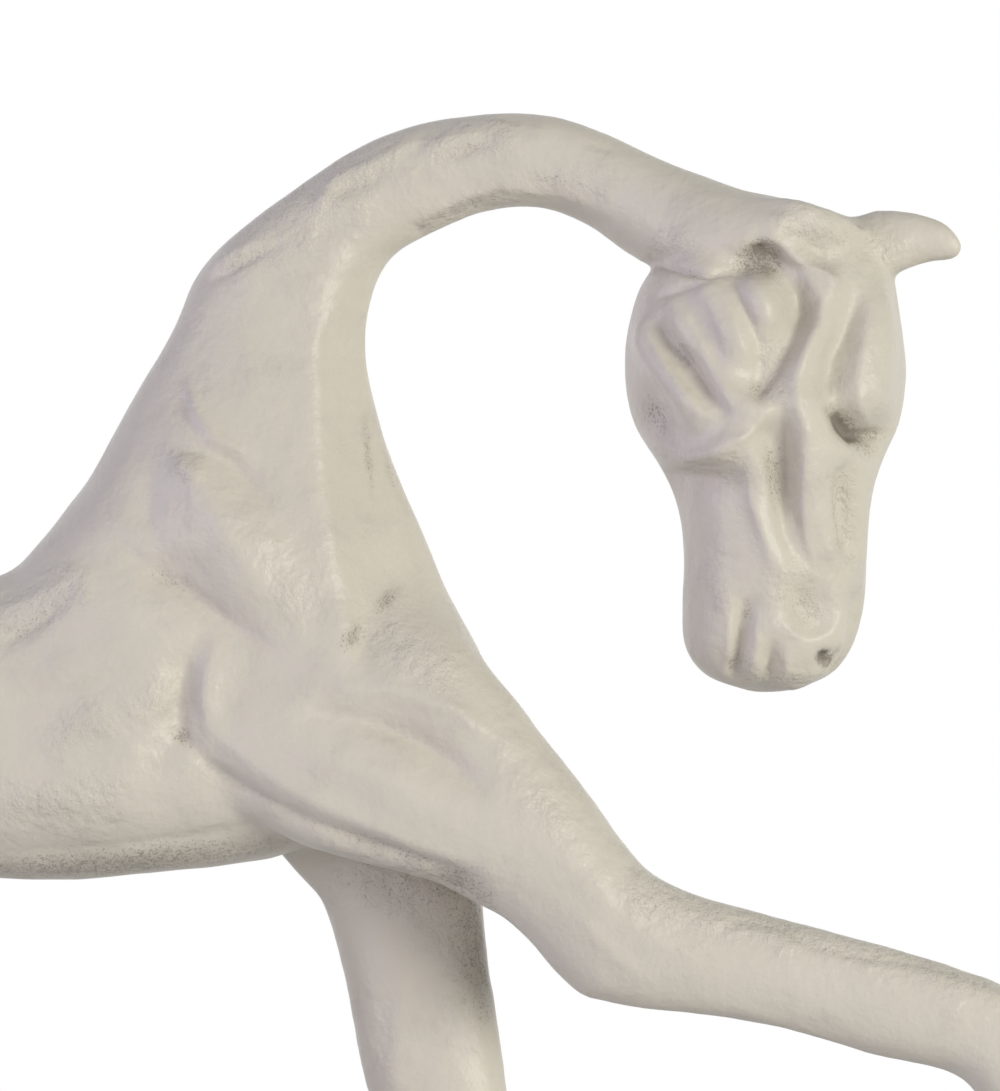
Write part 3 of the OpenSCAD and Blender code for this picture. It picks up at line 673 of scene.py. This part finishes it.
# Head with the nape, bowed and turned to the right. It is the finest casting, so it has a
# finer skin of its own. It is held on the neck by a dowel.
face = Skin(["head", "left_ear", "right_ear", "neck"], grain=0.45,
            wax=[((111.7, -13.1, 152.4), 1.6), ((110.4, -12, 152.4), 1.6),
                 ((106.8, -11, 149.5), 3.4), ((108.8, -10, 150.4), 3.2)])
face.rub(1.1)
face.knead(LUMPS)
features = [
    # hollow between nape, ear and eye
    (2.6, -1.9, 0.15, [(99.2, 215.8), (101.2, 217.2), (103.4, 217.4)]),
    (1.6, 0, 0.85, [(100, 216.2), (101.8, 217.4), (103.4, 215.4)]),
    # right ear: its lower rim and the hollow in it
    (1.1, 1.5, 0, [(104.2, 219.8), (106.6, 217.2), (109.8, 215), (113.4, 213.2)]),
    (1.9, -1.5, 0.04, [(107.8, 220), (110.8, 218.2), (113.6, 215.6)]),
    # right eye, with the groove before it and the ridge of the cheek before that
    (2.1, 1.1, 0, [(100.4, 212.4), (102.6, 209), (103.4, 205)]),
    (1.3, -1.3, 0.04, [(97.4, 213), (98.8, 209.2), (100.4, 205.8), (101.4, 203)]),
    (1.5, 0.8, 0, [(94.6, 211.6), (96.8, 207.8), (98.8, 202.4), (100.4, 198.2)]),
    (1.3, -0.6, 0.02, [(92.4, 209.2), (93.8, 205.2), (95, 201.4)]),
    (1.5, 0.8, 0, [(90, 206.6), (92.4, 202), (94.6, 197.4), (97, 193.2)]),
    (1.1, -1.3, 0.12, [(85.8, 205.2), (88.2, 202), (90.8, 198.8), (93.4, 195.2), (96, 191.6)]),
    (1.5, 0, 0.3, [(87.6, 203), (89.4, 200.8), (91, 199.4)]),
    (1.5, 1.3, 0, [(83.6, 204.2), (85.8, 199.8), (88.8, 195), (92, 191.6), (95.6, 190.2)]),
    # valley behind the right eye, up to the ridge of the brow
    (1.5, -1.5, 0.03, [(105, 215.2), (107.8, 211), (108.2, 207.8), (106.8, 203.4), (104.4, 199),
                       (102, 195.2)]),
    (1.5, 1.3, 0, [(108.6, 214.6), (111.8, 210.2), (111.4, 206.2), (109.2, 201.6), (107.6, 197.2),
                   (107.6, 192.8), (109.4, 188.4)]),
    (1.5, -0.5, 0.28, [(101.2, 196.8), (101.6, 194.2)]),
    # valley before the left eye, the eye and the socket under it
    (1.6, -1, 0.02, [(117, 208.4), (115.2, 203.6), (113.2, 199.8), (112.6, 195.2), (113, 192)]),
    (1.9, 1, 0, [(119.2, 208.8), (118.4, 202.4), (117.4, 197.2), (117.6, 193.2), (119.2, 189.8)]),
    (1.1, -1.9, 0.6, [(113.6, 192.2), (115, 189.8), (116.8, 188), (119, 187.8), (121.4, 188.2)]),
    (0.7, 0, 1.6, [(114.2, 191), (115.2, 189.2), (116.8, 187.8), (118.8, 187.6)]),
    (1.6, 0, 0.3, [(115.4, 186.8), (119.2, 185.8), (121, 186.2)]),
    # crest under the cheek and the hollows beside it
    (1.9, -0.6, 0.34, [(84, 192.8), (84.8, 191.2), (85.6, 189.6)]),
    (1.6, 1.5, 0, [(85.6, 186.6), (90, 184.6), (94.4, 185.4), (98.8, 187.6), (102.6, 191.4)]),
    (1.6, -1, 0.1, [(86.2, 182), (91.8, 180.8), (96.8, 181)]),
    # groove of the nose with its patina, the fold beside it and the bridge
    (1.9, -1.6, 0.05, [(105, 191), (105.4, 184), (105.6, 177.4), (106, 172.6), (107.6, 168.2)]),
    (1.3, 0, 0.3, [(102.6, 187.8), (103.8, 185.2), (104.4, 179.8), (104.6, 175)]),
    (1.5, 1, 0, [(99.8, 182.4), (100.4, 178.2), (101.8, 173.4), (103.6, 167.8)]),
    (1.8, 1.1, 0, [(109, 188.4), (109, 182.4), (108.8, 176.6), (109.2, 171), (110, 167.4)]),
    (1.6, -1, 0.14, [(115, 181.4), (114.8, 175.8), (115.8, 169)]),
    # dish of the muzzle, with its rim
    (3.2, -1.5, 0.1, [(108.6, 161.4), (109.4, 159)]),
    (1.5, 0.6, 0, [(106, 157.4), (107.2, 155.8), (109.2, 155), (111, 155), (113, 156),
                   (114.2, 157.8), (115, 160)]),
    # nostril
    (1.1, -2.3, 0.9, [(112.4, 151.8), (112.6, 151.4)]),
    # corners of the mouth, with the lips beside them
    (1, -1.1, 0.04, [(99.2, 160.8), (98.6, 157.4), (98, 153.6), (97.6, 149)]),
    (1, 0, 0.3, [(99.6, 160.4), (99.4, 158.4)]),
    (1, 0, 0.3, [(97.6, 152.6), (97.4, 149.8)]),
    (1, 1, 0, [(96.8, 158.8), (96.6, 154), (96, 150)]),
    (1.1, 0.6, 0, [(101.4, 159.4), (101.2, 154), (100.8, 149.4)]),
    (1, -1.1, 0.08, [(103.6, 153.6), (103.2, 150.8), (102.6, 147.4)]),
    (1.1, 0.6, 0, [(106, 153.2), (106.2, 148.4)])]
face.model(arch + notches + throat + features)
# chin, rubbed round
face.rub(1.6, (107.5, -11, 148.5), 8)
jaw = [
    # groove along the far side of the jaw, between two rolls
    (3.2, -1.5, 0.08, [(100.4, 187.2), (101.8, 174.2), (103, 161.4)]),
    (2.6, 1, 0, [(92, 193.6), (94, 182.4), (96.8, 167.8)]),
    (2.6, 1, 0, [(110.6, 193.6), (109.4, 182.4), (108.2, 167.8)])]
face.model(arch + jaw, side=1)
# tip of the left ear, filed to a hook
for place, slope in (((131.2, 1, 222.2), (0.7, 0, 0.72)), ((133.3, 1, 219), (0.93, 0, 0.35)),
                     ((133, 1, 217), (0.75, 0, -0.65))):
    face.grind(place, slope, 14)
# dip of the poll between the ears
face.grind((111.8, -5.5, 224.1), (0.3, 0, 0.95), 7)
face.grind((114.6, -3.6, 223.6), (0.15, 0, 0.99), 6)
face.roughen(sanded + [
    (4.8, 0.5, [(108.2, 221.8), (116.2, 217.8), (121, 218.6)]),
    (2.3, 0.5, [(98.4, 215.8), (103.6, 218.2)]),
    (2.6, 0.5, [(82.4, 220.2), (90.4, 217.8)]),
    (3.5, 0.5, [(90.4, 183.6), (96.8, 182.4)]),
    (2.3, 0.6, [(115, 180.8), (115.4, 167.8)]),
    (2.9, 0.6, [(108.8, 160.8), (109.8, 159.4)]),
    (2.6, 0.4, [(104.2, 163), (108.2, 166.2)]),
    (2.3, 0.5, [(94.4, 167.8), (96, 161.4)]),
    (1.9, 0.6, [(98.4, 151.6), (105, 148.4), (111.4, 148.2)]),
    (2.6, 0.5, [(103.4, 201.6), (105, 195.2)])])
cast_head = castings(face, [("head_dowel", 11, 11)],
                     seats=[("left_ear", "head"), ("right_ear", "head")], root_depth=5)
finished("head", cast_head["head"])

# Ears, the left one held out and the right one laid back over the nape. Each is cast on its
# own, pinned and welded to the head.
for name in ("left_ear", "right_ear"):
    finished(name, cast_head[name])

# Studio: a pale round floor that fades into a white backdrop, soft light from a warm window on
# the right, two cool screens on the left and one behind, and a long lens square to the right flank.


def white_seen(w):
    """1 for the rays that show the backdrop white: the lens's own and those that mirror it."""
    kinds = [w.node("ShaderNodeLightPath", {}, {}, output=f"Is {kind} Ray")
             for kind in ("Camera", "Glossy", "Transmission")]
    return w.maths("MAXIMUM", w.maths("MAXIMUM", kinds[0], kinds[1]), kinds[2])


disc = bmesh.new()
FLOOR_RADIUS = 0.9
bmesh.ops.create_circle(disc, cap_ends=True, segments=96, radius=FLOOR_RADIUS)
floor_mesh = bpy.data.meshes.new("floor")
disc.to_mesh(floor_mesh)
disc.free()
floor = bpy.data.objects.new("floor", floor_mesh)
bpy.context.scene.collection.objects.link(floor)
pale = bpy.data.materials.new("pale_floor")
pale.use_nodes = True
tree = pale.node_tree
w = Wire(tree)
place = w.node("ShaderNodeTexCoord", {}, {}, output=3)
away = w.node("ShaderNodeVectorMath", {"operation": "LENGTH"}, {0: place}, output=1)
shader = tree.nodes["Principled BSDF"]
shader.inputs["Base Color"].default_value = (0.86, 0.86, 0.85, 1)
shader.inputs["Roughness"].default_value = 0.8
glow = w.node("ShaderNodeEmission", {}, {"Color": (1, 1, 1, 1), "Strength": 1.0})
fade = w.node("ShaderNodeMixShader", {}, {
    0: w.rise(away, 0.2, 0.7) * white_seen(w),
    1: Wire(tree, shader.outputs[0]), 2: glow})
w.feed(tree.nodes["Material Output"].inputs["Surface"], fade)
floor_mesh.materials.append(pale)

world = bpy.data.worlds.new("backdrop")
bpy.context.scene.world = world
world.use_nodes = True
tree = world.node_tree
w = Wire(tree)
backdrop = tree.nodes["Background"]
backdrop.inputs["Color"].default_value = (1, 1, 1, 1)
ROOM_LIGHT = 0.28  # the backdrop's level as a lamp, beside 1 where it is seen
w.feed(backdrop.inputs["Strength"], ROOM_LIGHT + white_seen(w) * (1 - ROOM_LIGHT))

MIDDLE = Vector((0.05, 0, 0.15))
for name, place, size, power, colour in (
        ("warm_window", (1.6, -1.5, 0.4), 1.0, 31.5, (1.0, 1.0, 0.91)),
        ("pale_screen", (-1.6, -1.5, 0.4), 1.0, 11.8, (0.86, 0.81, 1.0)),
        ("cool_screen", (-2.1, -0.25, 0.6), 1.0, 11.2, (0.72, 0.7, 1.0)),
        ("back_screen", (0.3, 2.1, 0.6), 1.2, 14.0, (1.0, 0.98, 0.95))):
    light = bpy.data.lights.new(name, "AREA")
    light.shape = "DISK"
    light.size = size
    light.energy = power
    light.color = colour
    lamp = bpy.data.objects.new(name, light)
    lamp.location = place
    lamp.visible_glossy = name != "back_screen"
    lamp.rotation_euler = (MIDDLE - lamp.location).to_track_quat("-Z", "Y").to_euler()
    bpy.context.scene.collection.objects.link(lamp)

lens = bpy.data.cameras.new("long_lens")
lens.sensor_fit = "HORIZONTAL"
lens.sensor_width = 36
FRAME_WIDTH = 161.35  # millimetres of the figure's middle plane across the photograph
lens.lens = lens.sensor_width * DISTANCE / FRAME_WIDTH
lens.clip_end = 20
camera = bpy.data.objects.new("long_lens", lens)
camera.location = (EYE[0] / MM, -DISTANCE / MM, EYE[1] / MM)
camera.rotation_euler = (math.pi / 2, 0, 0)
bpy.context.scene.collection.objects.link(camera)
bpy.context.scene.camera = camera
bpy.context.scene.view_settings.view_transform = "Standard"
